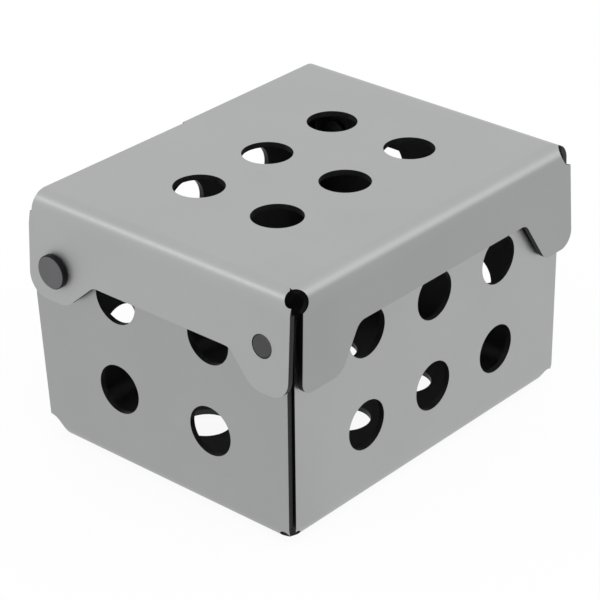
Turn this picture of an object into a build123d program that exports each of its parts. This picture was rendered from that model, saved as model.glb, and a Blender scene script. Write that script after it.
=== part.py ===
"""Small perforated steel autoclave basket with a hinged, flanged lid.

Frame: +X along the long side, +Y towards the hinge side, +Z up.  The origin is
under the middle of the basket, on the surface that it stands on.

The basket and its lid are each one folded sheet.  The lid's two end flanges
hang outside the end walls and turn on a pair of rivets near the back edge.
"""
from build123d import *
from math import cos, radians, sin, tan
import os

# ---------------------------------------------------------------- driving dimensions (mm)
sheet = 0.9  # thickness of both folded sheets
bend_radius = 3.0  # outside radius of every fold

body_length = 63.8  # outside, along X
body_width = 50.0  # outside, along Y
closed_height = 41.8  # floor's outer face to the top of the shut lid
wall_corner_gap = 0.25  # slot between a long wall and the inside of the end wall beside it
front_wall_right_inset = 0.3  # this end laps the right end wall, short of its outer face
end_wall_left_setback = 0.35  # left end wall's front edge, behind the front wall's outer face
end_wall_right_gap = 0.25  # right end wall's front edge, behind the front wall's inner face
end_wall_back_inset = 0.6  # foot of the end walls' back edges, in from the back wall's outer face
end_wall_back_flare = 1.45  # from there these edges lean out by this much ...
end_wall_back_flare_height = 21.0  # ... over this height, and then go straight up
back_relief_radius = 3.2  # round corner relief, about the corner of the mid-planes
front_relief_radius = 1.5  # the front ones are smaller
front_relief_inset = 1.27  # from each of the three outer faces

# Drops are measured down from the top of the shut lid.
end_wall_drop = 3.2  # keeps the end walls below the inside of the lid's end folds
end_wall_top_corner = 4.0  # rounded, so that the lid's plate and front flange swing clear
front_wall_drop = 5.4  # the lid's front flange swings clear of this wall
back_wall_drop = 4.0  # the lid's plate swings clear of this wall

hole_radius = 4.0  # every perforation
plate_hole_pitch_x = 15.2  # floor and lid
plate_hole_pitch_y = 15.5
plate_holes_y = -0.56  # middle of the floor's and the lid's pattern
long_wall_hole_pitch = 15.6  # along X, front and back
long_wall_holes_shift = 0.65  # middle of a long wall's pattern, to the right as seen from outside
long_wall_row_height = 12.63  # lower row, above the floor's outer face
long_wall_row_drop = 13.67  # upper row
long_wall_rows_tilt = -1.3  # degrees; seen from outside, the rows fall a little to the right
end_wall_hole_pitch = 18.5  # along Y, both ends
end_wall_holes_shift = 0.35  # middle of an end wall's pattern, to the right as seen from outside
end_wall_row_height = 13.73
end_wall_row_drop = 12.85

lid_side_gap = 0.2  # end wall to end flange, at the fold
lid_front_gap = 0.7  # front wall to front flange, at the fold
lid_back_overhang = 0.25  # lid's back edge, behind the back wall's outer face
lid_back_skew = 0.65  # the plate's back edge comes forward by this much at its left end
lid_back_skew_drop = 5.0  # where the left end flange's back edge starts to lean forward
lid_relief_radius = 1.85  # round corner reliefs, both of the same size and height
lid_left_relief_inset = 2.09  # centre, in from the end flange's outer face
lid_right_relief_inset = 1.1
lid_relief_front_inset = 0.75  # back from the front flange's outer face
lid_relief_drop = 1.54
end_flange_splay = 3.0  # degrees that each end flange leans outwards
front_flange_splay = -1.2  # degrees, negative because this flange leans inwards

end_edge_drop = 11.35  # straight lower edge of the end flanges
end_lobe_drop = 16.3  # bottom of both lobes of an end flange
end_flange_left_setback = 0.3  # front edge of the left end flange, behind the fold's front
end_flange_right_gap = 0.6  # the right one stops behind the front flange's inner face
latch_lobe_length = 5.4  # front wall to the latch lobe's lower back corner, along Y
latch_lobe_slope_run = 4.4  # length of the slope behind it, along Y
hinge_lobe_lead = 2.2  # hinge lobe's lower front corner, in front of the hinge
hinge_lobe_slope_run = 5.5  # length of the slope in front of it, along Y

front_edge_drop = 9.6  # straight lower edge of the front flange
front_flange_left_inset = 1.3  # its left edge, in from the left end wall's outer face
front_left_lobe_drop = 16.6
front_left_lobe_width = 8.5  # along the bottom of the lobe
front_left_slope_run = 3.7  # width of the slope beside it
front_flange_right_overhang = 1.8  # its lower right corner, out from the right end wall
front_flange_right_flare = 2.1  # how far the right edge leans out on its way down
front_right_lobe_drop = 17.7
front_right_lobe_width = 7.0
front_right_slope_run = 5.6
root_round = 2.0  # blends where the lobes meet the straight edges

hinge_inset = 5.4  # hinge axis, in from the back wall's outer face
hinge_drop = 10.95
rivet_shank_radius = 1.5
rivet_head_radius = 2.7
rivet_head_thickness = 0.9
rivet_tail_radius = 2.2
rivet_tail_thickness = 0.6
rivet_edge_chamfer = 0.15
rivet_flange_clearance = 0.08  # radial running clearance in the lid's end flange
rivet_wall_clearance = 0.02  # radial clearance in the end wall, where it is riveted
rivet_head_clearance = 0.12  # under the head, where it comes nearest to the splayed flange

latch_inset = 3.7  # latch studs, in from the front wall's outer face
latch_drop = 9.1
latch_radius = 1.85  # stud pressed through each end flange
latch_stand = 0.1  # how far it stands out of the flange
latch_edge_chamfer = 0.25
latch_nose_radius = 1.2
latch_nose_length = 0.2  # how far its nose reaches into the gap inside the flange
latch_nose_chamfer = 0.1
latch_seat_radius = 1.5  # hole in the end wall, behind the nose

# ---------------------------------------------------------------- derived sizes
inner_radius = bend_radius - sheet
half_length = body_length / 2
half_width = body_width / 2
end_wall_height = closed_height - end_wall_drop
front_wall_height = closed_height - front_wall_drop
back_wall_height = closed_height - back_wall_drop
end_wall_back = half_width - end_wall_back_inset + end_wall_back_flare
long_wall_left = wall_corner_gap + sheet - half_length
front_wall_right = half_length - front_wall_right_inset
long_wall_row_rise = closed_height - long_wall_row_drop - long_wall_row_height

lid_half_length = half_length + lid_side_gap + sheet
lid_front = -(half_width + lid_front_gap + sheet)
lid_back = half_width + lid_back_overhang
lid_fold_z = closed_height - bend_radius

hinge_y = half_width - hinge_inset
hinge_z = closed_height - hinge_drop
latch_y = latch_inset - half_width
latch_z = closed_height - latch_drop


def flange_face_x(z):
    """X of the outer face of the right end flange at height z."""
    return lid_half_length + (lid_fold_z - z) * tan(radians(end_flange_splay))


# On the right end flange's outer face, square to it.
latch_plane = Plane(
    origin=(flange_face_x(latch_z), latch_y, latch_z),
    x_dir=(0, 1, 0),
    z_dir=(cos(radians(end_flange_splay)), 0, sin(radians(end_flange_splay))),
)
left_latch_plane = Plane(
    origin=(-flange_face_x(latch_z), latch_y, latch_z),
    x_dir=(0, 1, 0),
    z_dir=(-cos(radians(end_flange_splay)), 0, sin(radians(end_flange_splay))),
)

# ---------------------------------------------------------------- shared shapes
def half_channel(reach, level, sense, splay, tip):
    """Right half of a folded sheet's section: a flat, one fold and one straight leg.

    The flat's outer face lies at `level` and the fold turns up (sense 1) or down
    (sense -1).  The leg's outer face starts at `reach` from the middle, leans out by
    `splay` degrees and ends `tip` away from the flat's outer face.
    """
    turn = sense * (90 - splay)
    leg = (tip - bend_radius) / cos(radians(splay))
    inner_level = level + sense * sheet
    with BuildSketch() as section:
        with BuildLine():
            outer_flat = Line((0, level), (reach - bend_radius, level))
            outer_fold = JernArc(outer_flat @ 1, (1, 0), bend_radius, turn)
            outer_leg = Line(outer_fold @ 1, outer_fold @ 1 + leg * (outer_fold % 1))
            inner_flat = Line((0, inner_level), (reach - bend_radius, inner_level))
            inner_fold = JernArc(inner_flat @ 1, (1, 0), inner_radius, turn)
            inner_leg = Line(inner_fold @ 1, inner_fold @ 1 + leg * (inner_fold % 1))
            Line(outer_flat @ 0, inner_flat @ 0)
            Line(outer_leg @ 1, inner_leg @ 1)
        make_face()
    return section.sketch


def fold_strip(half_x, edge_y):
    """Plan of the fold along a long edge at `edge_y`, mitred at both corners."""
    inward = -1 if edge_y > 0 else 1
    with BuildSketch() as strip:
        with BuildLine():
            Polyline(
                (bend_radius - half_x, edge_y + inward * bend_radius),
                (half_x - bend_radius, edge_y + inward * bend_radius),
                (half_x, edge_y),
                (-half_x, edge_y),
                close=True,
            )
        make_face()
    return strip.sketch


def end_flange_outline(front_edge, top_back):
    """Side outline of the lid with an end flange: latch lobe in front, hinge lobe behind."""
    edge_z = closed_height - end_edge_drop
    lobe_z = closed_height - end_lobe_drop
    latch_lobe_back = latch_lobe_length - half_width
    hinge_lobe_front = hinge_y - hinge_lobe_lead
    corners = {
        (front_edge, closed_height): 0,
        (front_edge, lobe_z): 3.2,
        (latch_lobe_back, lobe_z): 3.9,
        (latch_lobe_back + latch_lobe_slope_run, edge_z): root_round,
        (hinge_lobe_front - hinge_lobe_slope_run, edge_z): root_round,
        (hinge_lobe_front, lobe_z): 4.0,
        (lid_back, lobe_z): 3.5,
        (lid_back, closed_height - lid_back_skew_drop): 0,
        (top_back, closed_height): 0,
    }
    with BuildSketch() as outline:
        with BuildLine():
            FilletPolyline(*corners.keys(), radius=corners.values(), close=True)
        make_face()
    return outline.sketch


# ---------------------------------------------------------------- basket body
with BuildPart() as long_walls:
    # The folds reach the mitres; above them both walls stand between the end walls.
    for edge in (-half_width, half_width):
        with BuildSketch():
            add(fold_strip(half_length, edge))
        extrude(amount=bend_radius)
    with BuildSketch(Plane.XY.offset(bend_radius)):
        Rectangle(body_length, body_width)
    extrude(amount=end_wall_height)
    with BuildSketch(Plane.YZ.offset(-half_length)):
        add(half_channel(half_width, 0, 1, 0, back_wall_height))
        with BuildSketch(mode=Mode.PRIVATE) as front_half:
            add(half_channel(half_width, 0, 1, 0, front_wall_height))
        mirror(front_half.sketch, about=Plane.YZ)
    extrude(amount=body_length, mode=Mode.INTERSECT)

    # Ends of the walls: only the front wall's right end laps an end wall.
    with BuildSketch():
        with Locations((long_wall_left, -half_width)):
            Rectangle(front_wall_right - long_wall_left, half_width, align=(Align.MIN, Align.MIN))
        with Locations((long_wall_left, 0)):
            Rectangle(-2 * long_wall_left, half_width, align=(Align.MIN, Align.MIN))
    extrude(amount=closed_height, mode=Mode.INTERSECT)

with BuildPart() as body:
    # Floor and end walls, cut to the end walls' back edges.
    with BuildSketch(Plane.XZ.offset(-end_wall_back)):
        add(half_channel(half_length, 0, 1, 0, end_wall_height))
        mirror(about=Plane.YZ)
    extrude(amount=end_wall_back + half_width)
    with BuildSketch(Plane.YZ):
        with BuildLine():
            Polyline(
                (half_width, 0),
                (half_width, bend_radius),
                (half_width - end_wall_back_inset, bend_radius),
                (end_wall_back, bend_radius + end_wall_back_flare_height),
                (end_wall_back, end_wall_height),
                (2 * half_width, end_wall_height),
                (2 * half_width, 0),
                close=True,
            )
        make_face()
    extrude(amount=half_length, both=True, mode=Mode.SUBTRACT)
    fillet(body.edges().filter_by(Axis.X).group_by(Axis.Z)[-1], radius=end_wall_top_corner)

    # Front edges of the end walls; the right one stands behind the front wall.
    with BuildSketch(Plane.XY.offset(sheet)):
        with Locations((-half_length, -half_width)):
            Rectangle(2 * bend_radius, 2 * end_wall_left_setback)
        with Locations((half_length, -half_width)):
            Rectangle(2 * bend_radius, 2 * (sheet + end_wall_right_gap))
    extrude(amount=closed_height, mode=Mode.SUBTRACT)

    # The long walls' folds take the place of the floor's long edges.
    for edge in (-half_width, half_width):
        with BuildSketch():
            add(fold_strip(half_length, edge))
        extrude(amount=bend_radius, mode=Mode.SUBTRACT)
    add(long_walls.part)

    # Round reliefs where two folds meet.
    with Locations((0, half_width - sheet / 2, sheet / 2)):
        with GridLocations(body_length - sheet, 0, 2, 1):
            Sphere(back_relief_radius, mode=Mode.SUBTRACT)
    with Locations((0, front_relief_inset - half_width, front_relief_inset)):
        with GridLocations(body_length - 2 * front_relief_inset, 0, 2, 1):
            Sphere(front_relief_radius, mode=Mode.SUBTRACT)

    # Perforations of the floor and of each pair of walls.
    with BuildSketch():
        with Locations((0, plate_holes_y)):
            with GridLocations(plate_hole_pitch_x, plate_hole_pitch_y, 3, 2):
                Circle(hole_radius)
    extrude(amount=sheet, mode=Mode.SUBTRACT)
    for side in (-1, 1):
        # Each wall's pattern is the opposite wall's, turned half round.
        with BuildSketch(Plane.XZ):
            for rise in (0, long_wall_row_rise):
                middle = (side * long_wall_holes_shift, long_wall_row_height + rise)
                with Locations(Location(middle, side * long_wall_rows_tilt)):
                    with GridLocations(long_wall_hole_pitch, 0, 3, 1):
                        Circle(hole_radius)
        extrude(amount=side * half_width, mode=Mode.SUBTRACT)
        with BuildSketch(Plane.YZ):
            for row_z in (end_wall_row_height, closed_height - end_wall_row_drop):
                with Locations((side * end_wall_holes_shift, row_z)):
                    with GridLocations(end_wall_hole_pitch, 0, 2, 1):
                        Circle(hole_radius)
        extrude(amount=side * half_length, mode=Mode.SUBTRACT)
    with BuildSketch(Plane.YZ):
        with Locations((hinge_y, hinge_z)):
            Circle(rivet_shank_radius + rivet_wall_clearance)
        with Locations((latch_y, latch_z)):
            Circle(latch_seat_radius)
    extrude(amount=half_length, both=True, mode=Mode.SUBTRACT)

# ---------------------------------------------------------------- lid
front_left = front_flange_left_inset - half_length
front_right = half_length + front_flange_right_overhang
front_edge_z = closed_height - front_edge_drop
left_lobe_z = closed_height - front_left_lobe_drop
right_lobe_z = closed_height - front_right_lobe_drop
relief_y = lid_front + lid_relief_front_inset
relief_z = closed_height - lid_relief_drop
left_foot = front_left + front_left_lobe_width
right_foot = front_right - front_right_lobe_width

with BuildPart() as front_flange:
    # The fold reaches the mitres; below it the flange has a lobe at each end.
    with BuildSketch(Plane.XY.offset(lid_fold_z)):
        add(fold_strip(lid_half_length, lid_front))
    extrude(amount=bend_radius)
    with BuildSketch(Plane.XY):
        with Locations((-2 * half_length, lid_front)):
            Rectangle(4 * half_length, bend_radius, align=(Align.MIN, Align.MIN))
    extrude(amount=lid_fold_z)
    with BuildSketch(Plane.XZ):
        with BuildLine():
            corners = {
                (front_left, closed_height): 0,
                (front_left, left_lobe_z): 2.0,
                (left_foot, left_lobe_z): 2.8,
                (left_foot + front_left_slope_run, front_edge_z): root_round,
                (right_foot - front_right_slope_run, front_edge_z): root_round,
                (right_foot, right_lobe_z): 2.5,
                (front_right, right_lobe_z): 2.5,
                (front_right - front_flange_right_flare, closed_height): 0,
            }
            FilletPolyline(*corners.keys(), radius=corners.values(), close=True)
        make_face()
    extrude(amount=-2 * lid_front, mode=Mode.INTERSECT)
    with BuildSketch(Plane.YZ.offset(-2 * half_length)):
        with BuildSketch(mode=Mode.PRIVATE) as front_half:
            add(half_channel(-lid_front, closed_height, -1, front_flange_splay, closed_height))
        mirror(front_half.sketch, about=Plane.YZ)
    extrude(amount=4 * half_length, mode=Mode.INTERSECT)

    # The right corner's relief is cut in this fold alone.
    with Locations((lid_half_length - lid_right_relief_inset, relief_y, relief_z)):
        Sphere(lid_relief_radius, mode=Mode.SUBTRACT)

with BuildPart() as end_outlines:
    with BuildSketch(Plane.YZ):
        add(end_flange_outline(lid_front + end_flange_left_setback, lid_back - lid_back_skew))
    extrude(amount=-body_length)
    with BuildSketch(Plane.YZ):
        add(end_flange_outline(lid_front + sheet + end_flange_right_gap, lid_back))
    extrude(amount=body_length)

with BuildPart() as lid:
    # Plate and end flanges, cut to their side outlines.
    with BuildSketch(Plane.XZ.offset(-lid_back)):
        add(half_channel(lid_half_length, closed_height, -1, end_flange_splay, closed_height))
        mirror(about=Plane.YZ)
    extrude(amount=2 * body_width)
    add(end_outlines.part, mode=Mode.INTERSECT)

    # The plate's back edge runs a little askew.
    with BuildSketch(Plane.XY.offset(lid_fold_z)):
        with BuildLine():
            Polyline(
                (-lid_half_length, lid_back - lid_back_skew),
                (lid_half_length, lid_back),
                (lid_half_length, 2 * lid_back),
                (-lid_half_length, 2 * lid_back),
                close=True,
            )
        make_face()
    extrude(amount=bend_radius, mode=Mode.SUBTRACT)

    # The front fold takes the place of the plate's front edge.
    with BuildSketch(Plane.XY.offset(lid_fold_z)):
        add(fold_strip(lid_half_length, lid_front))
    extrude(amount=bend_radius, mode=Mode.SUBTRACT)
    add(front_flange.part)

    # Round relief at the left corner.
    with Locations((lid_left_relief_inset - lid_half_length, relief_y, relief_z)):
        Sphere(lid_relief_radius, mode=Mode.SUBTRACT)

    # Perforations of the plate, above those of the floor.
    with BuildSketch(Plane.XY.offset(closed_height)):
        with Locations((0, plate_holes_y)):
            with GridLocations(plate_hole_pitch_x, plate_hole_pitch_y, 3, 2):
                Circle(hole_radius)
    extrude(amount=-sheet, mode=Mode.SUBTRACT)

    # Rivet holes, bored along the hinge axis.
    with BuildSketch(Plane.YZ):
        with Locations((hinge_y, hinge_z)):
            Circle(rivet_shank_radius + rivet_flange_clearance)
    extrude(amount=body_length, both=True, mode=Mode.SUBTRACT)

    # Stud holes, bored square to each splayed flange.
    for side in (latch_plane, left_latch_plane):
        with BuildSketch(side):
            Circle(latch_radius)
        extrude(amount=sheet, both=True, mode=Mode.SUBTRACT)

# ---------------------------------------------------------------- hinge rivets
rivet_head_x = flange_face_x(hinge_z - rivet_head_radius) + rivet_head_clearance
wall_inner_x = half_length - sheet

with BuildPart() as hinge_rivet_right:
    # Flat head, shank, and a formed tail seated on the inside of the end wall.
    with BuildSketch(Plane.YZ.offset(rivet_head_x)):
        with Locations((hinge_y, hinge_z)):
            Circle(rivet_head_radius)
    extrude(amount=rivet_head_thickness)
    with BuildSketch(Plane.YZ.offset(wall_inner_x)):
        with Locations((hinge_y, hinge_z)):
            Circle(rivet_shank_radius)
    extrude(until=Until.NEXT)
    with BuildSketch(Plane.YZ.offset(wall_inner_x)):
        with Locations((hinge_y, hinge_z)):
            Circle(rivet_tail_radius)
    extrude(amount=-rivet_tail_thickness)
    ends = hinge_rivet_right.faces().sort_by(Axis.X)
    chamfer([ends[0].edge(), ends[-1].edge()], length=rivet_edge_chamfer)

with BuildPart() as hinge_rivet_left:
    mirror(hinge_rivet_right.part, about=Plane.YZ)

# ---------------------------------------------------------------- latch studs
with BuildPart() as latch_stud_right:
    # Square to the splayed flange, with a nose that points at the seat in the end wall.
    with BuildSketch(latch_plane.offset(latch_stand)):
        Circle(latch_radius)
    extrude(amount=-(latch_stand + sheet))
    chamfer(latch_stud_right.faces().sort_by(Axis.X)[-1].edge(), length=latch_edge_chamfer)
    with BuildSketch(latch_plane.offset(-sheet)):
        Circle(latch_nose_radius)
    extrude(amount=-latch_nose_length)
    chamfer(latch_stud_right.faces().sort_by(Axis.X)[0].edge(), length=latch_nose_chamfer)

with BuildPart() as latch_stud_left:
    mirror(latch_stud_right.part, about=Plane.YZ)

# ---------------------------------------------------------------- export
os.makedirs("parts", exist_ok=True)
nodes = {
    "body": body,
    "lid": lid,
    "hinge_rivet_left": hinge_rivet_left,
    "hinge_rivet_right": hinge_rivet_right,
    "latch_stud_left": latch_stud_left,
    "latch_stud_right": latch_stud_right,
}
for name, node in nodes.items():
    node.part.label = name
    export_step(node.part, f"parts/{name}.step")
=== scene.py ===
"""Looks of the perforated steel basket: materials, floor, light and camera."""
from math import cos, hypot, radians, sin, tan

import bpy
from mathutils import Matrix, Vector

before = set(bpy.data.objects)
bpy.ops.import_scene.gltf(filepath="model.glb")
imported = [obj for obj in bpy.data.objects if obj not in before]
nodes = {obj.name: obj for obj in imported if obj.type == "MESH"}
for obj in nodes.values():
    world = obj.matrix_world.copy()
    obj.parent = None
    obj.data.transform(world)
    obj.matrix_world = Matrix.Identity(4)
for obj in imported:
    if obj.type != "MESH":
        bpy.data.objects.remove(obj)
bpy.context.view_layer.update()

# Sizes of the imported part, in metres, used to tell outer faces from inner ones and cut edges.
SHEET, BEND = 0.0009, 0.003
HALF_LENGTH, HALF_WIDTH, HEIGHT = 0.0319, 0.025, 0.0418  # over the body's walls, and of the closed lid
LID_HALF_LENGTH, LID_FRONT = 0.033, -0.0266  # where the flanges leave their folds
SPLAY_END, SPLAY_FRONT = radians(3.0), radians(-1.2)
NEAR = 0.00004  # a face's middle may lie this far from a flat side
FACET = 0.00011  # and this far from a fold's true cylinder
ALIKE, ROUGHLY_ALIKE, FACET_ALIKE = 0.999, 0.99, 0.95  # how well a face's direction has to fit


# ---------------------------------------------------------------- materials
def new_material(name):
    material = bpy.data.materials.new(name)
    material.use_nodes = True
    material.node_tree.nodes.clear()
    return material, material.node_tree


def node(tree, kind, **inputs):
    """A new shader node, with constants set on its sockets by name."""
    made = tree.nodes.new(kind)
    for key, value in inputs.items():
        made.inputs[key.replace("_", " ")].default_value = value
    return made


GRAIN_SHARE = 0.45  # of the rolled grain in the tone, the rest being clouds
RAMP = (0.3, 0.7)  # the part of the mixed noise that the tone's ramp spans
CLOUDS, PITS = 70.0, 2600.0  # noise scales, a metre
ROUGHNESS_SWING = 0.05
PIT_DEPTH = 0.00003
TURN = (0.76, 0.9)  # how far a fold has turned where its painted shade, a second tone, starts and is complete


def steel(name, colour, spread, roughness, grain, bump, turned=None, painted_shade_colour=None):
    """Satin sheet steel: faint rolled grain along one direction, soft cloudy tone and fine pits.

    On a fold the tone goes over to the colour given for it where the surface faces the direction
    turned; that second tone is painted shade that follows the fold's normal.
    """
    material, tree = new_material(name)
    link = tree.links.new
    out = node(tree, "ShaderNodeOutputMaterial")
    bsdf = node(tree, "ShaderNodeBsdfPrincipled", Metallic=1.0)
    link(bsdf.outputs[0], out.inputs[0])
    where = node(tree, "ShaderNodeTexCoord")

    stretch = node(tree, "ShaderNodeMapping", Scale=grain)
    link(where.outputs["Object"], stretch.inputs["Vector"])
    lines = node(tree, "ShaderNodeTexNoise", Scale=1.0, Detail=5.0, Roughness=0.6)
    link(stretch.outputs[0], lines.inputs["Vector"])

    clouds = node(tree, "ShaderNodeTexNoise", Scale=CLOUDS, Detail=4.0, Roughness=0.55)
    link(where.outputs["Object"], clouds.inputs["Vector"])

    both = node(tree, "ShaderNodeMix")
    both.data_type = "FLOAT"
    both.inputs[0].default_value = GRAIN_SHARE
    link(clouds.outputs[0], both.inputs[2])
    link(lines.outputs[0], both.inputs[3])

    ramp = node(tree, "ShaderNodeValToRGB")
    for stop, place, side in zip(ramp.color_ramp.elements, RAMP, (-1, 1)):
        stop.position = place
        stop.color = [c * (1 + side * spread) for c in colour] + [1]
    link(both.outputs[0], ramp.inputs[0])
    tone = ramp.outputs[0]
    # Painted shade: the tone goes over to the second colour as the normal turns towards the direction
    # turned.
    if turned:
        facing = node(tree, "ShaderNodeVectorMath")
        facing.operation = "DOT_PRODUCT"
        facing.inputs[1].default_value = turned
        link(where.outputs["Normal"], facing.inputs[0])
        share = node(tree, "ShaderNodeMapRange", From_Min=TURN[0], From_Max=TURN[1])
        share.interpolation_type = "SMOOTHSTEP"
        link(facing.outputs["Value"], share.inputs["Value"])
        shade = node(tree, "ShaderNodeMix")
        shade.data_type = "RGBA"
        shade.blend_type = "MULTIPLY"
        shade.inputs[7].default_value = [b / a for a, b in zip(colour, painted_shade_colour)] + [1]
        link(share.outputs["Result"], shade.inputs[0])
        link(tone, shade.inputs[6])
        tone = shade.outputs[2]
    link(tone, bsdf.inputs["Base Color"])

    low, high = roughness - ROUGHNESS_SWING, roughness + ROUGHNESS_SWING
    rough = node(tree, "ShaderNodeMapRange", To_Min=low, To_Max=high)
    link(lines.outputs[0], rough.inputs["Value"])
    link(rough.outputs[0], bsdf.inputs["Roughness"])

    fine = node(tree, "ShaderNodeTexNoise", Scale=PITS, Detail=2.0)
    link(where.outputs["Object"], fine.inputs["Vector"])
    relief = node(tree, "ShaderNodeBump", Strength=bump, Distance=PIT_DEPTH)
    link(fine.outputs[0], relief.inputs["Height"])
    link(relief.outputs[0], bsdf.inputs["Normal"])
    return material


# Noise scales along x, y and z: low along the grain, and the same all round where there is none.
GRAIN_END, GRAIN_LONG = (900, 40, 900), (40, 900, 900)
EVEN, EVEN_FINE = (300, 300, 300), (500, 500, 500)
# Painted shading: the lid's top, end flanges and front flange are one sheet, given lighter and darker
# tones for the way each face looks.
TOP_PAINTED_SHADING, END_FLANGE_PAINTED_SHADING, FRONT_FLANGE_PAINTED_SHADING = (0.412, 0.414, 0.416), (0.464, 0.466, 0.469), (0.342, 0.344, 0.347)
FORWARD = (0, -1, 0)

top = steel("lid_top_painted_shading", TOP_PAINTED_SHADING, 0.03, 0.38, GRAIN_LONG, 0.15)
end_flange = steel("lid_end_flange_painted_shading", END_FLANGE_PAINTED_SHADING, 0.03, 0.6, GRAIN_END, 0.15)
front_flange = steel("lid_front_flange_painted_shading", FRONT_FLANGE_PAINTED_SHADING, 0.03, 0.4, GRAIN_LONG, 0.15)
# Painted shading: the front fold's tone goes over from the top's to the darker front flange's as it
# turns to face forward.
front_fold = steel("lid_front_fold_painted_shading", TOP_PAINTED_SHADING, 0.03, 0.38, GRAIN_LONG, 0.15, FORWARD, FRONT_FLANGE_PAINTED_SHADING)
# Painted shading: the body's end walls and long walls are one sheet, the end walls given a darker tone
# for the way they face.
end_wall = steel("body_end_wall_painted_shading", (0.362, 0.364, 0.367), 0.03, 0.4, GRAIN_END, 0.15)
long_wall = steel("body_long_wall_painted_shading", (0.405, 0.407, 0.41), 0.03, 0.4, GRAIN_LONG, 0.15)
# Painted shade: the inner faces of the body and lid get a near-black tone for the shade inside the
# basket.
inner = steel("sheet_inner_painted_shade", (0.07, 0.07, 0.07), 0.08, 0.65, GRAIN_LONG, 0.15)
edge = steel("sheet_edge", (0.035, 0.035, 0.036), 0.12, 0.5, EVEN_FINE, 0.3)
rivet = steel("rivet_face", (0.14, 0.14, 0.145), 0.1, 0.45, EVEN, 0.3)
# Painted shade: the rivet's round side is the same metal as its face, given a darker tone for the shade
# it falls in.
rivet_side_painted_shade = steel("rivet_side_painted_shade", (0.02, 0.02, 0.02), 0.1, 0.5, EVEN, 0.3)
stud = steel("stud_steel", (0.085, 0.085, 0.085), 0.12, 0.5, EVEN, 0.3)


# ---------------------------------------------------------------- which face gets which
def fold_side(across, down, normal_across, normal_down, outer):
    """Side of a fold: place and normal are taken from its axis, across and towards its outside."""
    r = hypot(across, down)
    if across < 0 or down < 0 or r < 0.3 * BEND:
        return None
    along = (across * normal_across + down * normal_down) / r
    if r > BEND - FACET and along > FACET_ALIKE:
        return outer
    if abs(r - (BEND - SHEET)) < FACET and along < -FACET_ALIKE:
        return inner
    return None


def body_side(c, n):
    """Material of a face of the body, from its centre and normal."""
    x, y, z = abs(c.x), abs(c.y), c.z
    nx, ny = n.x * (1 if c.x > 0 else -1), n.y * (1 if c.y > 0 else -1)
    if nx > ALIKE and abs(x - HALF_LENGTH) < NEAR:
        return end_wall
    if nx < -ALIKE and abs(x - HALF_LENGTH + SHEET) < NEAR:
        return inner
    if ny > ALIKE and abs(y - HALF_WIDTH) < NEAR:
        return long_wall
    if ny < -ALIKE and abs(y - HALF_WIDTH + SHEET) < NEAR:
        return inner
    if n.z < -ALIKE and z < NEAR:
        return long_wall
    if n.z > ALIKE and abs(z - SHEET) < NEAR:
        return inner
    found = fold_side(x - HALF_LENGTH + BEND, BEND - z, nx, -n.z, end_wall)
    return found or fold_side(y - HALF_WIDTH + BEND, BEND - z, ny, -n.z, long_wall) or edge


def lid_side(c, n):
    """Material of a face of the lid, from its centre and normal."""
    x, y, z = abs(c.x), c.y, c.z
    nx = n.x * (1 if c.x > 0 else -1)
    if n.z > ALIKE and abs(z - HEIGHT) < NEAR:
        return top
    if n.z < -ALIKE and abs(z - HEIGHT + SHEET) < NEAR:
        return inner
    drop = HEIGHT - BEND - z
    if drop > -NEAR:
        face = LID_HALF_LENGTH + drop * tan(SPLAY_END)
        if nx > ROUGHLY_ALIKE and abs(x - face) < NEAR:
            return end_flange
        if nx < -ROUGHLY_ALIKE and abs(x - face + SHEET / cos(SPLAY_END)) < 2 * NEAR:
            return inner
        face = LID_FRONT - drop * tan(SPLAY_FRONT)
        if n.y < -ROUGHLY_ALIKE and abs(y - face) < NEAR:
            return front_flange
        if n.y > ROUGHLY_ALIKE and abs(y - face - SHEET / cos(SPLAY_FRONT)) < 2 * NEAR:
            return inner
    rise = z - HEIGHT + BEND
    found = fold_side(x - LID_HALF_LENGTH + BEND, rise, nx, n.z, top)
    return found or fold_side(-y + LID_FRONT + BEND, rise, -n.y, n.z, front_fold) or edge


def rivet_part(c, n):
    """Material of a face of a rivet: its flat ends are lighter than its round side, whose darker tone
    is painted shade.
    """
    return rivet if abs(n.x) > 0.9 else rivet_side_painted_shade


def dress(name, slots, choose):
    """Give every face of a node one of the materials in slots."""
    mesh = nodes[name].data
    mesh.materials.clear()
    for material in slots:
        mesh.materials.append(material)
    for face in mesh.polygons:
        face.material_index = slots.index(choose(face.center, face.normal))


dress("body", [end_wall, long_wall, inner, edge], body_side)
dress("lid", [top, end_flange, front_flange, front_fold, inner, edge], lid_side)
for side in ("left", "right"):
    dress("hinge_rivet_" + side, [rivet, rivet_side_painted_shade], rivet_part)
    dress("latch_stud_" + side, [stud], lambda c, n: stud)


# ---------------------------------------------------------------- floor and background
def seen_directly(tree):
    """One for camera, glossy and transmission rays, so bright steel mirrors the same white."""
    path = node(tree, "ShaderNodeLightPath")
    total = path.outputs["Is Camera Ray"]
    for kind in ("Is Glossy Ray", "Is Transmission Ray"):
        add = node(tree, "ShaderNodeMath")
        add.operation = "ADD"
        add.use_clamp = True
        tree.links.new(total, add.inputs[0])
        tree.links.new(path.outputs[kind], add.inputs[1])
        total = add.outputs[0]
    return total


WHITE = (1, 1, 1, 1)
GLOW_SHARE = 0.93  # of plain white in what those rays see, the rest being the lit floor with its shadow
FLOOR_SIZE, FLOOR_DEPTH = 3.0, 0.0001

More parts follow.
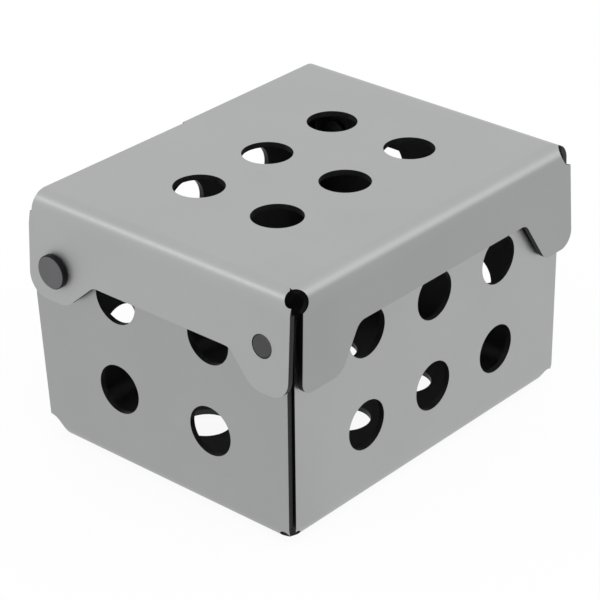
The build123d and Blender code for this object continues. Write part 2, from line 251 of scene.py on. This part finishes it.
backdrop, tree = new_material("backdrop")
link = tree.links.new
lit = node(tree, "ShaderNodeBsdfDiffuse", Color=(0.85, 0.85, 0.85, 1))
glow = node(tree, "ShaderNodeEmission", Strength=1.0)
share = node(tree, "ShaderNodeMath")
share.operation = "MULTIPLY"
share.inputs[1].default_value = GLOW_SHARE
mix = node(tree, "ShaderNodeMixShader")
link(seen_directly(tree), share.inputs[0])
link(share.outputs[0], mix.inputs[0])
link(lit.outputs[0], mix.inputs[1])
link(glow.outputs[0], mix.inputs[2])
link(mix.outputs[0], node(tree, "ShaderNodeOutputMaterial").inputs[0])

bpy.ops.mesh.primitive_plane_add(size=FLOOR_SIZE, location=(0, 0, -FLOOR_DEPTH))
floor = bpy.context.object
floor.name = "floor"
floor.data.materials.append(backdrop)

# ---------------------------------------------------------------- light
scene = bpy.context.scene
scene.world = bpy.data.worlds.new("studio")
scene.world.use_nodes = True
tree = scene.world.node_tree
tree.nodes.clear()
sky = node(tree, "ShaderNodeBackground", Color=WHITE, Strength=1.0)
tree.links.new(sky.outputs[0], node(tree, "ShaderNodeOutputWorld").inputs[0])

MIDDLE = Vector((0, 0, 0.02))  # of the basket, where the lamps point
LAMP_DISTANCE = 0.8


def towards(azimuth, elevation):
    """Unit vector from the basket, with azimuth 0 in front of it and turning to its right."""
    level = cos(elevation)
    return Vector((sin(azimuth) * level, -cos(azimuth) * level, sin(elevation)))


def lamp(name, azimuth, elevation, size, watts):
    """A square lamp that points at the basket's middle, with its angles in degrees."""
    data = bpy.data.lights.new(name, "AREA")
    data.shape = "SQUARE"
    data.size = size
    data.energy = watts
    made = bpy.data.objects.new(name, data)
    away = towards(radians(azimuth), radians(elevation))
    made.location = MIDDLE + LAMP_DISTANCE * away
    made.rotation_euler = away.to_track_quat("Z", "Y").to_euler()
    scene.collection.objects.link(made)


lamp("key", -20, 65, 0.6, 1.5)
lamp("fold_left", -141, 41, 0.16, 0.2)  # shows as the bright line along the lid's left fold
lamp("fold_right", 54, 36, 0.3, 0.18)  # and along its front fold

# ---------------------------------------------------------------- camera
AZIMUTH, ELEVATION, ROLL = -0.8493971804950904, 0.49441295786900125, -0.010265785441379025
DISTANCE, TARGET = 0.37531236, Vector((-0.00202892, -0.00090957, 0.02))
FOCAL_PX, PICTURE_PX, SENSOR_MM = 2437.0, 600, 36
back = towards(AZIMUTH, ELEVATION)
right = (-back).cross(Vector((0, 0, 1))).normalized()
up = right.cross(-back)
right, up = cos(ROLL) * right + sin(ROLL) * up, cos(ROLL) * up - sin(ROLL) * right
pose = Matrix((right, up, back)).transposed().to_4x4()
pose.translation = TARGET + DISTANCE * back

camera = bpy.data.objects.new("camera", bpy.data.cameras.new("camera"))
scene.collection.objects.link(camera)
camera.matrix_world = pose
camera.data.sensor_width = SENSOR_MM
camera.data.lens = FOCAL_PX * SENSOR_MM / PICTURE_PX
camera.data.clip_start = 0.01
scene.camera = camera
scene.view_settings.view_transform = "Standard"
